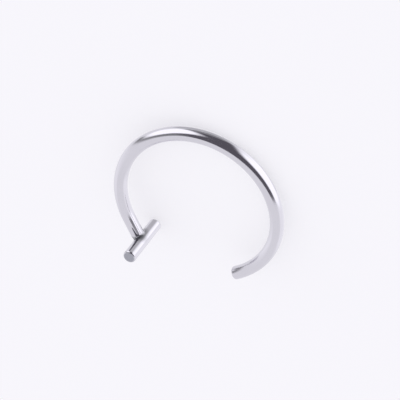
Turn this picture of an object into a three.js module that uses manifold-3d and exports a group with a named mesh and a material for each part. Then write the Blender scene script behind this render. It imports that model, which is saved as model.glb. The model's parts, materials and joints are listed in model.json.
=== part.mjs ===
// Lip ring: an open hoop of round steel wire, with a short crossbar soldered across one end.
// Millimetres, +Z up. The ring lies on its side, on the crossbar's lower end and on the hoop's far arc.
// The origin is on the surface that it lies on, under the middle of its bounding box.

import * as THREE from 'three';
import { mergeVertices } from 'three/addons/utils/BufferGeometryUtils.js';
import Module from 'manifold-3d';

// Driving dimensions
const WIRE_DIAMETER = 1.0;
const HOOP_INSIDE_DIAMETER = 10.9;
const HOOP_SWEEP = THREE.MathUtils.degToRad(265);
const HOOP_START = THREE.MathUtils.degToRad(205); // where the hoop's arc begins, at its straight root
const ROOT_LENGTH = 2.0; // straight stretch between the arc and the crossbar's axis
const ROOT_GAP = 0.36; // how far the wire's root ends short of the crossbar's axis
const ROOT_ROUND = 0.16; // rounding that the solder leaves on the root's end
const BAR_DIAMETER = 1.0;
const BAR_LENGTH = 4.5;
const BAR_LEAN = THREE.MathUtils.degToRad(2); // how far off square the crossbar was soldered
const BAR_INSET = 0.28; // how far the crossbar's axis lies inside the wire's, towards the hoop's middle
const BAR_SHIFT = 0.18; // how far the crossbar's middle lies above the hoop's plane
const EDGE_ROUND = 0.1; // rounding that polishing leaves on the cut ends
const SOLDER_FILLET = 0.15; // rounding of the solder in the corner between hoop and crossbar

// Facets
const ROD_SIDES = 24;
const EDGE_STEPS = 3;
const SOLDER_STEPS = 6;
const ROOT_STEPS = 2;
const HOOP_STEPS = 72;
const MERGE_DISTANCE = 1e-5;

// Sizes and places that follow
const wireRadius = WIRE_DIAMETER / 2;
const barRadius = BAR_DIAMETER / 2;
const hoopRadius = HOOP_INSIDE_DIAMETER / 2 + wireRadius;
const arcLength = hoopRadius * HOOP_SWEEP;
const wireLength = ROOT_LENGTH + arcLength;
const solderTop = barRadius + SOLDER_FILLET;
const rootDirection = polar(1, HOOP_START + Math.PI / 2);
const arcStart = polar(hoopRadius, HOOP_START);
const barCentre = polar(hoopRadius - BAR_INSET, HOOP_START).addScaledVector(rootDirection, ROOT_LENGTH);

const wasm = await Module();
wasm.setup();

function polar(radius, angle) {
  return new THREE.Vector2(radius * Math.cos(angle), radius * Math.sin(angle));
}

// Outline of a rod's rounded upper edge and flat end, from its side to its axis
function upperEnd(radius, endHeight, rounding) {
  const points = [];
  for (let step = 0; step <= EDGE_STEPS; step += 1) {
    const turn = (Math.PI / 2) * (step / EDGE_STEPS);
    const inset = rounding * (1 - Math.cos(turn));
    const drop = rounding * (1 - Math.sin(turn));
    points.push(new THREE.Vector2(radius - inset, endHeight - drop));
  }
  points.push(new THREE.Vector2(0, endHeight));
  return points;
}

// The same for a lower end, from its axis to its side
function lowerEnd(radius, endHeight, rounding) {
  const mirrored = upperEnd(radius, -endHeight, rounding).reverse();
  return mirrored.map((point) => new THREE.Vector2(point.x, -point.y));
}

// Evenly spaced points along the wire's side, without the last one
function plainStretch(start, end, steps) {
  const points = [];
  for (let step = 0; step < steps; step += 1) {
    points.push(new THREE.Vector2(wireRadius, THREE.MathUtils.lerp(start, end, step / steps)));
  }
  return points;
}

// The straight wire before bending: height is the distance along it from the crossbar's axis
function wireOutline() {
  return [
    ...lowerEnd(wireRadius, ROOT_GAP, ROOT_ROUND).slice(0, -1),
    ...plainStretch(ROOT_GAP + ROOT_ROUND, solderTop, SOLDER_STEPS),
    ...plainStretch(solderTop, ROOT_LENGTH, ROOT_STEPS),
    ...plainStretch(ROOT_LENGTH, wireLength - EDGE_ROUND, HOOP_STEPS),
    ...upperEnd(wireRadius, wireLength, EDGE_ROUND),
  ];
}

function barOutline() {
  return [
    ...lowerEnd(barRadius, -BAR_LENGTH / 2, EDGE_ROUND),
    ...upperEnd(barRadius, BAR_LENGTH / 2, EDGE_ROUND),
  ];
}

// How far the solder widens the wire along the crossbar, for a point of the wire's surface near its root
function solderSpread(outward, along) {
  const barSurface = Math.sqrt(Math.max(barRadius ** 2 - (outward + BAR_INSET) ** 2, 0));
  const height = THREE.MathUtils.clamp(along - barSurface, 0, SOLDER_FILLET);
  const inset = SOLDER_FILLET - height;
  return SOLDER_FILLET - Math.sqrt(SOLDER_FILLET ** 2 - inset ** 2);
}

// Bends the wire: its root stays straight, and the rest goes round the hoop's circle, clockwise
function bendIntoHoop(geometry) {
  const position = geometry.attributes.position;
  for (let index = 0; index < position.count; index += 1) {
    const outward = position.getX(index);
    const along = position.getY(index);
    const widening = 1 + solderSpread(outward, along) / wireRadius;
    const across = -position.getZ(index) * widening;
    const pastRoot = Math.max(along - ROOT_LENGTH, 0);
    const beforeArc = Math.max(ROOT_LENGTH - along, 0);
    const place = polar(hoopRadius + outward, HOOP_START - pastRoot / hoopRadius);
    place.addScaledVector(rootDirection, beforeArc);
    position.setXYZ(index, place.x, place.y, across);
  }
  return geometry;
}

// Closed solid from a lathe's mesh, without the flat triangles at its poles
function toSolid(geometry) {
  geometry.deleteAttribute('normal');
  geometry.deleteAttribute('uv');
  const merged = mergeVertices(geometry, MERGE_DISTANCE);
  const corners = merged.index.array;
  const triangles = [];
  for (let first = 0; first < corners.length; first += 3) {
    const triangle = corners.slice(first, first + 3);
    if (new Set(triangle).size === 3) {
      triangles.push(...triangle);
    }
  }
  const vertProperties = merged.attributes.position.array;
  const triVerts = Uint32Array.from(triangles);
  return new wasm.Manifold(new wasm.Mesh({ numProp: 3, vertProperties, triVerts }));
}

function toGeometry(solid) {
  const mesh = solid.getMesh();
  const geometry = new THREE.BufferGeometry();
  geometry.setAttribute('position', new THREE.BufferAttribute(mesh.vertProperties, 3));
  geometry.setIndex(new THREE.BufferAttribute(mesh.triVerts, 1));
  geometry.computeVertexNormals();
  return geometry;
}

// Hoop: the wire, bent in the XY plane about the origin
const hoop = toSolid(bendIntoHoop(new THREE.LatheGeometry(wireOutline(), ROD_SIDES)));

// Crossbar: its middle at the hoop's root, nearly square to the hoop's plane
const leanAxis = new THREE.Vector3(Math.cos(HOOP_START), Math.sin(HOOP_START), 0);
const barGeometry = new THREE.LatheGeometry(barOutline(), ROD_SIDES);
barGeometry.rotateX(Math.PI / 2);
barGeometry.applyMatrix4(new THREE.Matrix4().makeRotationAxis(leanAxis, BAR_LEAN));
barGeometry.translate(barCentre.x, barCentre.y, BAR_SHIFT);
const crossbar = toSolid(barGeometry);

const polishedSteel = new THREE.MeshStandardMaterial({ color: 0xcbcad2, metalness: 1, roughness: 0.12 });
const lipRing = new THREE.Mesh(toGeometry(hoop.add(crossbar)), polishedSteel);
lipRing.name = 'lip_ring';

// Centre of mass in the hoop's plane, from the arc, the straight root and the crossbar
const arcMassArm = (hoopRadius * Math.sin(HOOP_SWEEP / 2)) / (HOOP_SWEEP / 2);
const massCentre = polar(arcMassArm, HOOP_START - HOOP_SWEEP / 2).multiplyScalar(arcLength);
massCentre.addScaledVector(arcStart.clone().addScaledVector(rootDirection, ROOT_LENGTH / 2), ROOT_LENGTH);
massCentre.addScaledVector(barCentre, BAR_LENGTH);
massCentre.divideScalar(arcLength + ROOT_LENGTH + BAR_LENGTH);

// Rest: the line from the crossbar's foot under the centre of mass meets the hoop where it touches down
const footShift = (BAR_LENGTH / 2) * Math.sin(BAR_LEAN);
const barFoot = barCentre.clone().addScaledVector(rootDirection, footShift);
const towardsMass = massCentre.clone().sub(barFoot).normalize();
const toMidChord = -barFoot.dot(towardsMass);
const halfChord = Math.sqrt(toMidChord ** 2 + hoopRadius ** 2 - barFoot.lengthSq());
const touchPoint = barFoot.clone().addScaledVector(towardsMass, toMidChord + halfChord);
const touchDirection = touchPoint.clone().normalize();

// The tilt that brings that point and the edge of the crossbar's foot to one height
const reach = hoopRadius - barFoot.dot(touchDirection) - barRadius + EDGE_ROUND;
const footDrop = BAR_LENGTH / 2 - BAR_SHIFT - EDGE_ROUND;
const tilt = Math.atan2(footDrop, reach) + Math.asin((EDGE_ROUND - wireRadius) / Math.hypot(reach, footDrop));
const tiltAxis = new THREE.Vector3(-touchDirection.y, touchDirection.x, 0);
lipRing.quaternion.setFromAxisAngle(tiltAxis, tilt);

const box = new THREE.Box3().setFromObject(lipRing, true);
const middle = box.getCenter(new THREE.Vector3());
lipRing.position.set(-middle.x, -middle.y, -box.min.z);

const part = new THREE.Group();
part.add(lipRing);

export default part;
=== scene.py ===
import json
import math

import bmesh
import bpy
import numpy as np
from mathutils import Matrix, Vector


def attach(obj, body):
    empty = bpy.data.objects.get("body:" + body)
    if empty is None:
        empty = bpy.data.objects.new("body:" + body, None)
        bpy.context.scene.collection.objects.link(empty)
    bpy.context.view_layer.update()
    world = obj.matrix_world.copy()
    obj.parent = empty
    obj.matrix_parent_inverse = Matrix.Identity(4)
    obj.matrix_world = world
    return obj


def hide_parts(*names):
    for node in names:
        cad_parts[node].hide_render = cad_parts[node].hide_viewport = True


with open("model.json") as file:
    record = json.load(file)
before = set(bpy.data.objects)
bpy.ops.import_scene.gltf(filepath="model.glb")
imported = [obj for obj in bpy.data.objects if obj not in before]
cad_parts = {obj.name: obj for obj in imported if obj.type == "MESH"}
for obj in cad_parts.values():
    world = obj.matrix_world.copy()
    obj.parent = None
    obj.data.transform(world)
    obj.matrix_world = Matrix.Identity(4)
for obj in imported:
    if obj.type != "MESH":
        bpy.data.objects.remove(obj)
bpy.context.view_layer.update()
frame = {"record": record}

# Sizes of the ring in metres, as the CAD model has them
MM = 0.001
WIRE_RADIUS = 0.5 * MM
HOOP_RADIUS = 5.95 * MM
HOOP_SWEEP = math.radians(265)
HOOP_START = math.radians(205)
ROOT_LENGTH = 2.0 * MM
ROOT_GAP = 0.36 * MM
ROOT_ROUND = 0.16 * MM
BAR_RADIUS = 0.5 * MM
BAR_SHIFT = 0.18 * MM
SOLDER_FILLET = 0.15 * MM

# What polishing and soldering left on it, and painted shade where the wire meets the crossbar
EDGE_ROUND = 0.14 * MM  # edges of the cut ends, a little softer than the CAD model's
END_FACE_BLEND = 0.017 * MM  # depth over which an end face gives way to its edge
SOLDER_AND_SHADE_REACH = 0.5 * MM  # how far the dark of the soldering, with painted shade, spreads over the crossbar
SOLDER_AND_SHADE_STRENGTH = 0.6  # how much of the steel it covers there at most
SHADE_SPOT_REACH = 0.8 * MM  # radius of a spot of painted shade and dark reflection on the crossbar beside the wire's root, which fades out to its edge
SHADE_SPOT_CORE = 0.16 * MM  # radius of its fully dark middle
SHADE_SPOT_SHIFT = 0.2 * MM  # how far along the crossbar its middle lies from the bar's middle
ROOT_SOLDER_AND_SHADE_REACH = 0.32 * MM  # how far the dark of the soldering, with painted shade, spreads up the wire's root
ROOT_SOLDER_AND_SHADE_FULL = 0.048 * MM  # up to where it covers the root fully
ROOT_SOLDER_AND_SHADE_SIDE = 0.45 * MM  # how far below the crossbar's middle it fades out
END_REACH = 1.0 * MM  # what lies within this of an end of the wire belongs to that end

# Fineness of the ring's mesh
CAGE_SIDES = 8
CAGE_ARC_STEPS = 54
CAGE_END_STEP = 0.35 * MM
CAGE_WIRE_FOOT = 0.71 * MM  # where the wire's cage begins, from the crossbar's axis
CAGE_BAR_WINDOW = 0.68 * MM  # half the opening in the crossbar's cage, where the wire joins it
SUBDIVISIONS = 3
PROJECT_STEPS = 6
PROBE = 0.002 * MM

# Steel
STEEL_DARKER = (0.626, 0.616, 0.656, 1)
STEEL_LIGHTER = (0.656, 0.647, 0.686, 1)
# Dark of the soldered joint, also used as painted shade and dark reflection where the wire meets the crossbar
SOLDER_AND_SHADE_COLOUR = (0.13, 0.135, 0.142, 1)
END_FACE_COLOUR = (0.374, 0.379, 0.418, 1)
MIRROR_ROUGHNESS = (0.1, 0.16)
END_FACE_ROUGHNESS = (0.3, 0.42)
SOLDER_ROUGHNESS = 0.36
CLOUDS_PER_MM = 0.7
MARKS_PER_MM = (9, 9, 0.5)  # polishing marks across the wire, up from it and along it
GRINDING_PER_MM = (2, 28, 1)  # the same for the marks that grinding left on the end faces
NOISE_RANGE = (0.3, 0.7)  # range that nearly all of a noise's values lie in
MARK_DEPTH = 0.002 * MM
MARK_STRENGTH = 0.3

# The photo's view of the hoop, as if it stood upright with its mouth down
CAMERA_TURN = math.radians(22.37)
CAMERA_RISE = math.radians(36.95)
CAMERA_DISTANCE = 66.5 * MM
PIXELS_PER_METRE = 14173
HOOP_CENTRE_PIXEL = (196.68, 207.02)
IMAGE_SIZE = 400
SENSOR_WIDTH = 36

# Studio, with distances in metres
FLOOR_SIZE = 1.2
FLOOR_COLOUR = (0.413, 0.41, 0.416, 1)
FLOOR_ROUGHNESS = 0.9
FLOOR_GLOW = 0.55  # the floor is a light table, lit from below
SURROUND_COLOUR = (0.965, 0.955, 1.0, 1)
SURROUND_STRENGTH = 1.02
DARK_COLOUR = (0.91, 0.845, 1.0, 1)
DARK_RADIANCE = 0.1435
WALL_RADIANCE = 0.32
CEILING_RADIANCE = 0.36
FAR_CEILING_RADIANCE = 0.68
GLOW_RADIANCE = 1.2
SOFTBOX_RADIANCE = 1.6
ROOM_DISTANCE = 0.09
LEFT_WALL_DISTANCE = 0.062
CEILING_DISTANCE = 0.5
GLOW_DISTANCE = 0.47
LEFT_SOFTBOX_DISTANCE = 0.06
RIGHT_SOFTBOX_DISTANCE = 0.085
CARD_COLUMNS = 24
CARD_STEPS = 4
CARD_FADE = 12  # degrees at each side over which a card fades out
GLOW_FADE = 30
SOFTBOX_FADE = 16
SOFTBOX_FADE_FROM = 34  # height in degrees from which the right softbox fades out upwards

# Cards that the steel mirrors, seen from the hoop's centre. A row is (height, left edge, right edge),
# in degrees from the camera's direction, and smooth curves join the rows.
DARK_ROOM = (
    (-50, 8, 22), (-40, -26, 44), (-30, -52, 57), (-18, -68, 57), (0, -71, 51), (30, -64, 52),
    (45, -54, 66), (62, -54, 88),
)
LEFT_WALL = ((-27, -67, -51), (-8, -81, -40), (8, -94, -59), (20, -110, -76), (33, -120, -95))
CEILING = ((58, -72, 97), (68, -82, 102), (87, -82, 102))
FAR_CEILING = ((40, 138, 200), (50, 108, 208), (58, 78, 214), (68, 78, 255), (87, 78, 282))
RIGHT_GLOW = ((-62, 82, 130), (-40, 50, 154), (-25, 44, 161), (-5, 54, 170), (10, 76, 180))
LEFT_GLOW = ((-40, -120, -78), (-10, -145, -86), (20, -150, -108))
LEFT_SOFTBOX = (
    (5, -70, -48), (10, -81, -35), (22, -93, -19), (45, -107, -18), (58, -102, -28), (65, -88, -44),
)
RIGHT_SOFTBOX = (
    (-27, 47, 68), (-20, 35, 86), (-5, 20, 105), (10, 15, 116), (35, 28, 135), (52, 45, 141), (66, 74, 134),
)

UP = np.array((0.0, 0.0, 1.0))


def polar(radius, angle):
    return radius * np.array((math.cos(angle), math.sin(angle), 0.0))


# Where the hoop and the crossbar lie, from the mounts on their ends
mounts = {mount["name"]: mount for mount in frame["record"]["mounts"]}
free_end = Vector(mounts["free_end_face"]["pos_m"])
free_way = Vector(mounts["free_end_face"]["axis"]).normalized()
bar_upper = Vector(mounts["crossbar_upper_end"]["pos_m"])
bar_lower = Vector(mounts["crossbar_lower_end"]["pos_m"])
bar_way = (bar_upper - bar_lower).normalized()
bar_crossing = (bar_upper + bar_lower) / 2 - BAR_SHIFT * bar_way
hoop_up = (bar_crossing - free_end).cross(free_way).normalized()
hoop_centre = free_end + HOOP_RADIUS * free_way.cross(hoop_up)
to_hoop_start = Matrix.Rotation(HOOP_SWEEP, 3, hoop_up) @ (free_end - hoop_centre).normalized()
hoop_right = Matrix.Rotation(-HOOP_START, 3, hoop_up) @ to_hoop_start
hoop_back = hoop_up.cross(hoop_right)
hoop_to_world = Matrix((hoop_right, hoop_back, hoop_up)).transposed().to_4x4()
hoop_to_world.translation = hoop_centre

# The same places in the hoop's own frame: its centre is the origin, and it lies in the XY plane
world_to_hoop = hoop_to_world.inverted()
upper_end = np.array(world_to_hoop @ bar_upper)
lower_end = np.array(world_to_hoop @ bar_lower)
free_end_place = np.array(world_to_hoop @ free_end)
free_end_way = np.array(world_to_hoop.to_3x3() @ free_way)
bar_centre = (upper_end + lower_end) / 2
bar_length = np.linalg.norm(upper_end - lower_end)
bar_axis = (upper_end - lower_end) / bar_length
root_side = polar(1, HOOP_START)
root_direction = polar(1, HOOP_START + math.pi / 2)
arc_start = HOOP_RADIUS * root_side
root_end = arc_start + (ROOT_LENGTH - ROOT_GAP) * root_direction
wire_length = ROOT_LENGTH + HOOP_RADIUS * HOOP_SWEEP
# Middle of the spot of painted shade and dark reflection on the crossbar, on its side towards the wire's root
shade_spot_centre = bar_centre - BAR_RADIUS * root_direction + SHADE_SPOT_SHIFT * bar_axis

# The crossbar's own directions at the joint: off to the hoop's outer side, and towards the wire
joint = np.array(world_to_hoop @ bar_crossing)
sideways = np.cross(bar_axis, root_end - joint)
sideways *= np.sign(sideways @ root_side) / np.linalg.norm(sideways)
facing_wire = np.cross(bar_axis, sideways)
facing_wire *= np.sign(facing_wire @ (root_end - joint))

# The camera's directions
camera_right = math.cos(CAMERA_TURN) * hoop_right - math.sin(CAMERA_TURN) * hoop_up
level_back = math.sin(CAMERA_TURN) * hoop_right + math.cos(CAMERA_TURN) * hoop_up
camera_back = math.cos(CAMERA_RISE) * level_back + math.sin(CAMERA_RISE) * hoop_back
camera_up = camera_back.cross(camera_right)


def rounded_rod(from_axis, past_end, radius, rounding):
    """Distance to a rod with a flat end and a rounded edge."""
    side = from_axis - (radius - rounding)
    end = past_end + rounding
    outside = np.hypot(np.maximum(side, 0), np.maximum(end, 0))
    return outside + np.minimum(np.maximum(side, end), 0) - rounding


def arc_places(points):
    """Distance from the hoop's circle, and distance along it past the free end."""
    from_circle = np.hypot(np.hypot(points[:, 0], points[:, 1]) - HOOP_RADIUS, points[:, 2])
    middle = HOOP_START - HOOP_SWEEP / 2
    turn = middle - np.arctan2(points[:, 1], points[:, 0])
    turn = (turn + math.pi) % (2 * math.pi) - math.pi
    return from_circle, (turn - HOOP_SWEEP / 2) * HOOP_RADIUS


def wire_distance(points):
    """Distance to the bent wire: its arc, and before the arc its straight root."""
    offset = points - arc_start
    along = offset @ root_direction
    from_line = np.linalg.norm(offset - along[:, None] * root_direction, axis=1)
    root = rounded_rod(from_line, along - (ROOT_LENGTH - ROOT_GAP), WIRE_RADIUS, ROOT_ROUND)
    arc = rounded_rod(*arc_places(points), WIRE_RADIUS, EDGE_ROUND)
    on_root = (along > 0) & (points @ root_side > 0)
    return np.where(on_root, root, arc)


def bar_places(points):
    """Distance from the crossbar's axis, and distance past its nearer end."""
    offset = points - bar_centre
    along = offset @ bar_axis
    from_axis = np.linalg.norm(offset - along[:, None] * bar_axis, axis=1)
    return from_axis, np.abs(along) - bar_length / 2


def bar_distance(points):
    return rounded_rod(*bar_places(points), BAR_RADIUS, EDGE_ROUND)


def ring_distance(points):
    """Distance to the whole ring: wire and crossbar joined by a round fillet where they are soldered."""
    wire = wire_distance(points)
    bar = bar_distance(points)
    corner = np.hypot(np.maximum(SOLDER_FILLET - wire, 0), np.maximum(SOLDER_FILLET - bar, 0))
    return np.maximum(SOLDER_FILLET, np.minimum(wire, bar)) - corner


def surface_normals(points):
    steps = PROBE * np.eye(3)
    slopes = [ring_distance(points + step) - ring_distance(points - step) for step in steps]
    normals = np.stack(slopes, axis=1)
    return normals / np.linalg.norm(normals, axis=1, keepdims=True)


def add_object(name, data):
    made = bpy.data.objects.new(name, data)
    bpy.context.scene.collection.objects.link(made)
    return made


def add_circle(cage, centre, first, second, radius):
    """Corners of the cage round a centre, turning from the first direction towards the second."""
    corners = []
    for side in range(CAGE_SIDES):
        angle = (side + 0.5) * 2 * math.pi / CAGE_SIDES
        corners.append(cage.verts.new(centre + radius * (math.cos(angle) * first + math.sin(angle) * second)))
    return corners


def bridge(cage, one, other, sides=range(CAGE_SIDES)):
    """Quads between two circles of corners."""
    for side in sides:
        following = (side + 1) % CAGE_SIDES
        cage.faces.new((one[side], one[following], other[following], other[side]))


def end_profile(length, radius):
    """Circles that hold a cut end's edge: distance along the rod, and radius."""
    return [
        (length - CAGE_END_STEP, radius), (length - EDGE_ROUND, radius),
        (length, radius - EDGE_ROUND), (length, radius - CAGE_END_STEP),
    ]


def wire_place(along):
    """Centre of the wire and its outward direction, at a distance along it from the crossbar's axis."""
    outward = polar(1, HOOP_START - max(along - ROOT_LENGTH, 0) / HOOP_RADIUS)
    return HOOP_RADIUS * outward + max(ROOT_LENGTH - along, 0) * root_direction, outward


def wire_circles(cage):
    """The wire's circles, from the joint to the free end."""
    arc_step = HOOP_RADIUS * HOOP_SWEEP / CAGE_ARC_STEPS
    profile = [(CAGE_WIRE_FOOT, WIRE_RADIUS), ((CAGE_WIRE_FOOT + ROOT_LENGTH) / 2, WIRE_RADIUS)]
    profile += [(ROOT_LENGTH + step * arc_step, WIRE_RADIUS) for step in range(CAGE_ARC_STEPS)]
    profile += end_profile(wire_length, WIRE_RADIUS)
    circles = []
    for along, radius in profile:
        centre, outward = wire_place(along)
        circles.append(add_circle(cage, centre, outward, UP, radius))
    return circles


def bar_circles(cage, way):
    """The circles of the crossbar's upper or lower half, from the joint to its end."""
    reach = bar_length / 2 + way * BAR_SHIFT
    profile = [(CAGE_BAR_WINDOW, BAR_RADIUS), ((CAGE_BAR_WINDOW + reach) / 2, BAR_RADIUS)]
    profile += end_profile(reach, BAR_RADIUS)
    return [
        add_circle(cage, joint + way * along * bar_axis, facing_wire, sideways, radius)
        for along, radius in profile
    ]


def ring_cage():
    """Coarse closed cage of the ring, all quads but for its end caps."""
    cage = bmesh.new()
    wire = wire_circles(cage)
    upper = bar_circles(cage, 1)
    lower = bar_circles(cage, -1)
    for chain in (wire, upper, lower):
        for one, other in zip(chain, chain[1:]):
            bridge(cage, one, other)
        cage.faces.new(chain[-1])
    bridge(cage, upper[0], lower[0], range(1, CAGE_SIDES - 2))
    window = [upper[0][side] for side in (1, 0, -1, -2)]
    window += [lower[0][side] for side in (-2, -1, 0, 1)]
    bridge(cage, window, wire[0])
    bmesh.ops.recalc_face_normals(cage, faces=cage.faces)
    mesh = bpy.data.meshes.new("ring_cage")
    cage.to_mesh(mesh)
    cage.free()
    return mesh


def subdivided_cage():
    cage = add_object("ring_cage", ring_cage())
    cage.modifiers.new("subdivision", "SUBSURF").levels = SUBDIVISIONS
    depsgraph = bpy.context.evaluated_depsgraph_get()
    mesh = bpy.data.meshes.new_from_object(cage.evaluated_get(depsgraph))
    bpy.data.objects.remove(cage)
    return mesh


def smooth_step(values, start, end):
    share = np.clip((values - start) / (end - start), 0, 1)
    return share * share * (3 - 2 * share)


def soldering_and_shade_cover(points):
    """How much of the steel is darkened, partly by soldering and partly as painted shade and dark reflection:
    on the crossbar round the wire, and on the root's end.
    """
    from_wire = wire_distance(points)
    from_shade_spot = np.linalg.norm(points - shade_spot_centre, axis=1)
    # On the crossbar round the wire: dark soldering, with painted shade in the corner
    spread = SOLDER_AND_SHADE_STRENGTH * smooth_step(from_wire, SOLDER_AND_SHADE_REACH, 0)
    # A spot of painted shade and dark reflection on the crossbar beside the wire's root
    on_bar = np.maximum(spread, smooth_step(from_shade_spot, SHADE_SPOT_REACH, SHADE_SPOT_CORE))

    # On the root's end beside the crossbar: dark soldering, with painted shade in the gap
    from_root = points - root_end
    on_root = smooth_step(from_root @ root_direction, -ROOT_SOLDER_AND_SHADE_REACH, -ROOT_SOLDER_AND_SHADE_FULL)
    on_root *= smooth_step((points - bar_centre) @ bar_axis, -ROOT_SOLDER_AND_SHADE_SIDE, 0)
    on_root[np.linalg.norm(from_root, axis=1) > END_REACH] = 0
    return np.where(bar_distance(points) < from_wire, on_bar, on_root)


def end_face_cover(points):
    """1 on the flat faces of the three cut ends, and 0 elsewhere."""
    from_free_end = points - free_end_place
    past_free_end = from_free_end @ free_end_way
    past_free_end[np.linalg.norm(from_free_end, axis=1) > END_REACH] = -np.inf
    past_bar_end = bar_places(points)[1]
    return smooth_step(np.maximum(past_free_end, past_bar_end), -END_FACE_BLEND, 0)


def straightened(points):
    """Places as if the wire were straight, in millimetres: across it, up from it and along it."""
    across = np.hypot(points[:, 0], points[:, 1]) - HOOP_RADIUS
    along = np.arctan2(points[:, 1], points[:, 0]) * HOOP_RADIUS
    wire = np.stack((across, points[:, 2], along), axis=1)
    offset = points - bar_centre
    bar = np.stack((offset @ root_side, offset @ root_direction, offset @ bar_axis), axis=1)
    on_bar = bar_distance(points) < wire_distance(points)
    return np.where(on_bar[:, None], bar, wire) / MM


def add_attribute(mesh, name, kind, field, values):
    attribute = mesh.attributes.new(name, kind, "POINT")
    attribute.data.foreach_set(field, np.ascontiguousarray(values, np.float32).ravel())


def make_ring():
    """Fine mesh of the ring: the cage, subdivided and drawn onto the exact surface."""
    mesh = subdivided_cage()
    points = np.empty(len(mesh.vertices) * 3, np.float32)
    mesh.vertices.foreach_get("co", points)
    points = points.reshape(-1, 3).astype(float)
    for _ in range(PROJECT_STEPS):
        points -= ring_distance(points)[:, None] * surface_normals(points)
    normals = surface_normals(points)
    add_attribute(mesh, "grain", "FLOAT_VECTOR", "vector", straightened(points))
    add_attribute(mesh, "end_face", "FLOAT", "value", end_face_cover(points))
    # Where the joint is darkened: partly soldering, partly painted shade and dark reflection
    add_attribute(mesh, "soldering_and_shade", "FLOAT", "value", soldering_and_shade_cover(points))

    rotation = np.array(hoop_to_world.to_3x3())
    world_points = points @ rotation.T + np.array(hoop_centre)
    mesh.vertices.foreach_set("co", world_points.astype(np.float32).ravel())
    mesh.shade_smooth()
    mesh.normals_split_custom_set_from_vertices(normals @ rotation.T)
    mesh.name = "polished_lip_ring"
    return add_object("polished_lip_ring", mesh)


def new_material(name):
    material = bpy.data.materials.new(name)
    material.use_nodes = True
    material.node_tree.nodes.clear()
    return material, material.node_tree


def add_node(tree, kind, inputs, **settings):
    """A node with its settings, and its inputs set to values or linked to other sockets."""
    made = tree.nodes.new(kind)
    for name, value in settings.items():
        setattr(made, name, value)
    for name, value in inputs.items():
        if isinstance(value, bpy.types.NodeSocket):
            tree.links.new(value, made.inputs[name])
        else:
            made.inputs[name].default_value = value
    return made


def add_attribute_node(tree, name):
    return add_node(tree, "ShaderNodeAttribute", {}, attribute_name=name)


def add_noise(tree, place, scale, detail, roughness):
    inputs = {"Vector": place, "Scale": scale, "Detail": detail, "Roughness": roughness}
    return add_node(tree, "ShaderNodeTexNoise", inputs).outputs["Fac"]


def stretch(tree, place, factors):
    scaled = add_node(tree, "ShaderNodeVectorMath", {0: place, 1: factors}, operation="MULTIPLY")
    return scaled.outputs["Vector"]


def noise_to_range(tree, noise, smallest, largest):
    mapped = add_node(tree, "ShaderNodeMapRange", {
        "Value": noise,
        "From Min": NOISE_RANGE[0],
        "From Max": NOISE_RANGE[1],
        "To Min": smallest,
        "To Max": largest,
    })
    return mapped.outputs["Result"]


def mix_numbers(tree, share, first, second):
    """Mix node for numbers, whose own sockets are the node's inputs 2 and 3 and its output 0."""
    return add_node(tree, "ShaderNodeMix", {"Factor": share, 2: first, 3: second}).outputs[0]


def mix_colours(tree, share, first, second):
    """Mix node for colours, whose own sockets are the node's inputs 6 and 7 and its output 2."""
    inputs = {"Factor": share, 6: first, 7: second}
    return add_node(tree, "ShaderNodeMix", inputs, data_type="RGBA").outputs[2]


def polished_steel():
    """Mirror polish with faint lengthwise marks, and satin on the ground ends and on the dark soldered joint,
    which is partly painted shade and dark reflection.
    """
    material, tree = new_material("polished_steel")
    grain = add_attribute_node(tree, "grain").outputs["Vector"]
    end_face = add_attribute_node(tree, "end_face").outputs["Fac"]
    soldering_and_shade = add_attribute_node(tree, "soldering_and_shade").outputs["Fac"]

    clouds = add_noise(tree, grain, scale=CLOUDS_PER_MM, detail=2, roughness=0.5)
    marks = add_noise(tree, stretch(tree, grain, MARKS_PER_MM), scale=1, detail=4, roughness=0.6)
    grinding = add_noise(tree, stretch(tree, grain, GRINDING_PER_MM), scale=1, detail=3, roughness=0.5)

    steel_colour = mix_colours(tree, clouds, STEEL_DARKER, STEEL_LIGHTER)
    # The joint's dark: partly soldering, partly painted shade and dark reflection
    side_colour = mix_colours(tree, soldering_and_shade, steel_colour, SOLDER_AND_SHADE_COLOUR)
    mirror = noise_to_range(tree, marks, *MIRROR_ROUGHNESS)
    satin = noise_to_range(tree, grinding, *END_FACE_ROUGHNESS)
    side_roughness = mix_numbers(tree, soldering_and_shade, mirror, SOLDER_ROUGHNESS)
    bump = add_node(tree, "ShaderNodeBump", {
        "Strength": MARK_STRENGTH,
        "Distance": MARK_DEPTH,
        "Height": mix_numbers(tree, end_face, marks, grinding),
    })
    shader = add_node(tree, "ShaderNodeBsdfPrincipled", {
        "Base Color": mix_colours(tree, end_face, side_colour, END_FACE_COLOUR),
        "Metallic": 1.0,
        "Roughness": mix_numbers(tree, end_face, side_roughness, satin),
        "Normal": bump.outputs["Normal"],
    })
    add_node(tree, "ShaderNodeOutputMaterial", {"Surface": shader.outputs["BSDF"]})
    return material


def floor_material():
    material, tree = new_material("pale_floor")
    shader = add_node(tree, "ShaderNodeBsdfPrincipled", {
        "Base Color": FLOOR_COLOUR,
        "Roughness": FLOOR_ROUGHNESS,
        "Specular IOR Level": 0.0,
        "Emission Color": SURROUND_COLOUR,
        "Emission Strength": FLOOR_GLOW,
    })
    add_node(tree, "ShaderNodeOutputMaterial", {"Surface": shader.outputs["BSDF"]})
    return material


def make_floor():
    """A plain floor that the steel doesn't mirror: it mirrors the cards and the surround instead."""
    half = FLOOR_SIZE / 2
    corners = [(-half, -half, 0), (half, -half, 0), (half, half, 0), (-half, half, 0)]
    mesh = bpy.data.meshes.new("floor")
    mesh.from_pydata(corners, [], [(0, 1, 2, 3)])
    mesh.materials.append(floor_material())
    floor = add_object("floor", mesh)
    floor.visible_glossy = False


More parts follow.
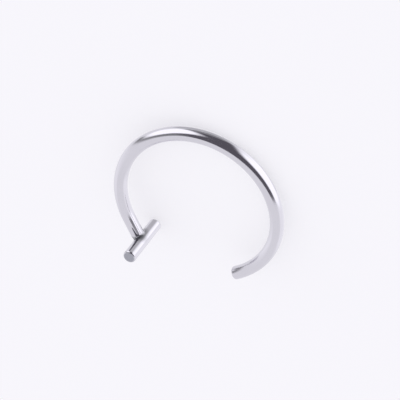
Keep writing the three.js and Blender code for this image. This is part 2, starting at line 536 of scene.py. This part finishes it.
def make_surround():
    world = bpy.data.worlds.new("studio")
    world.use_nodes = True
    background = world.node_tree.nodes["Background"]
    background.inputs["Color"].default_value = SURROUND_COLOUR
    background.inputs["Strength"].default_value = SURROUND_STRENGTH
    bpy.context.scene.world = world


def card_rows(outline):
    """More rows for a card, on smooth curves through the given ones."""
    given = np.array(outline, float)
    slopes = np.gradient(given, given[:, 0], axis=0)
    rows = []
    for lower in range(len(given) - 1):
        rise = given[lower + 1, 0] - given[lower, 0]
        for share in np.arange(CARD_STEPS) / CARD_STEPS:
            ease = smooth_step(share, 0, 1)
            leaving = share * (1 - share) ** 2 * rise * slopes[lower]
            arriving = share ** 2 * (share - 1) * rise * slopes[lower + 1]
            rows.append((1 - ease) * given[lower] + ease * given[lower + 1] + leaving + arriving)
    return [*rows, given[-1]]


def card_point(height, aside, distance):
    """Point at a height and a turn to the right in degrees from the camera, seen from the hoop's centre."""
    rise = math.radians(height)
    turn = math.radians(aside)
    level = math.sin(turn) * camera_right + math.cos(turn) * camera_back
    return hoop_centre + distance * (math.cos(rise) * level + math.sin(rise) * camera_up)


def card_mesh(name, outline, distance, fade, fade_from):
    """Curved sheet about the hoop's centre, with how much it covers what lies behind it at each point."""
    rows = card_rows(outline)
    top = rows[-1][0]
    points = []
    cover = []
    for height, left, right in rows:
        strength = 1 if fade_from is None else min(1, (top - height) / (top - fade_from))
        for angle in np.linspace(left, right, CARD_COLUMNS + 1):
            points.append(card_point(height, angle, distance))
            cover.append(strength * min(angle - left, right - angle, fade) / fade)
    across = CARD_COLUMNS + 1
    faces = []
    for row in range(len(rows) - 1):
        for column in range(CARD_COLUMNS):
            corner = row * across + column
            faces.append((corner, corner + 1, corner + across + 1, corner + across))
    mesh = bpy.data.meshes.new(name)
    mesh.from_pydata(points, [], faces)
    add_attribute(mesh, "cover", "FLOAT", "value", cover)
    return mesh


def card_material(name, radiance, colour):
    material, tree = new_material(name)
    glow = add_node(tree, "ShaderNodeEmission", {"Color": colour, "Strength": radiance})
    clear = add_node(tree, "ShaderNodeBsdfTransparent", {})
    shader = add_node(tree, "ShaderNodeMixShader", {
        "Fac": add_attribute_node(tree, "cover").outputs["Fac"],
        1: clear.outputs["BSDF"],
        2: glow.outputs["Emission"],
    })
    add_node(tree, "ShaderNodeOutputMaterial", {"Surface": shader.outputs["Shader"]})
    material.cycles.emission_sampling = "NONE"
    return material


def make_card(name, outline, distance, radiance, fade=CARD_FADE, fade_from=None, colour=SURROUND_COLOUR):
    """A card for the steel to mirror. Nothing else sees it."""
    mesh = card_mesh(name, outline, distance, fade, fade_from)
    mesh.materials.append(card_material(name, radiance, colour))
    card = add_object(name, mesh)
    card.visible_camera = False
    card.visible_diffuse = False
    card.visible_shadow = False


def make_camera():
    data = bpy.data.cameras.new("camera")
    data.sensor_width = SENSOR_WIDTH
    data.lens = SENSOR_WIDTH * PIXELS_PER_METRE * CAMERA_DISTANCE / IMAGE_SIZE
    data.shift_x = 0.5 - HOOP_CENTRE_PIXEL[0] / IMAGE_SIZE
    data.shift_y = HOOP_CENTRE_PIXEL[1] / IMAGE_SIZE - 0.5
    data.clip_start = 1 * MM
    axes = Matrix((camera_right, camera_up, camera_back)).transposed().to_4x4()
    axes.translation = hoop_centre + CAMERA_DISTANCE * camera_back
    camera = add_object("camera", data)
    camera.matrix_world = axes
    bpy.context.scene.camera = camera


# Studio
make_camera()
make_floor()
make_surround()
make_card("dark_room", DARK_ROOM, ROOM_DISTANCE, DARK_RADIANCE, colour=DARK_COLOUR)
make_card("left_wall", LEFT_WALL, LEFT_WALL_DISTANCE, WALL_RADIANCE)
make_card("ceiling", CEILING, CEILING_DISTANCE, CEILING_RADIANCE)
make_card("far_ceiling", FAR_CEILING, CEILING_DISTANCE, FAR_CEILING_RADIANCE)
make_card("right_glow", RIGHT_GLOW, GLOW_DISTANCE, GLOW_RADIANCE, GLOW_FADE)
make_card("left_glow", LEFT_GLOW, GLOW_DISTANCE, GLOW_RADIANCE, GLOW_FADE)
make_card("left_softbox", LEFT_SOFTBOX, LEFT_SOFTBOX_DISTANCE, SOFTBOX_RADIANCE, SOFTBOX_FADE)
make_card(
    "right_softbox", RIGHT_SOFTBOX, RIGHT_SOFTBOX_DISTANCE, SOFTBOX_RADIANCE, SOFTBOX_FADE, SOFTBOX_FADE_FROM,
)
bpy.context.scene.view_settings.view_transform = "Standard"

# Ring
ring = make_ring()
ring.data.materials.append(polished_steel())
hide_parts("lip_ring")
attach(ring, "root")
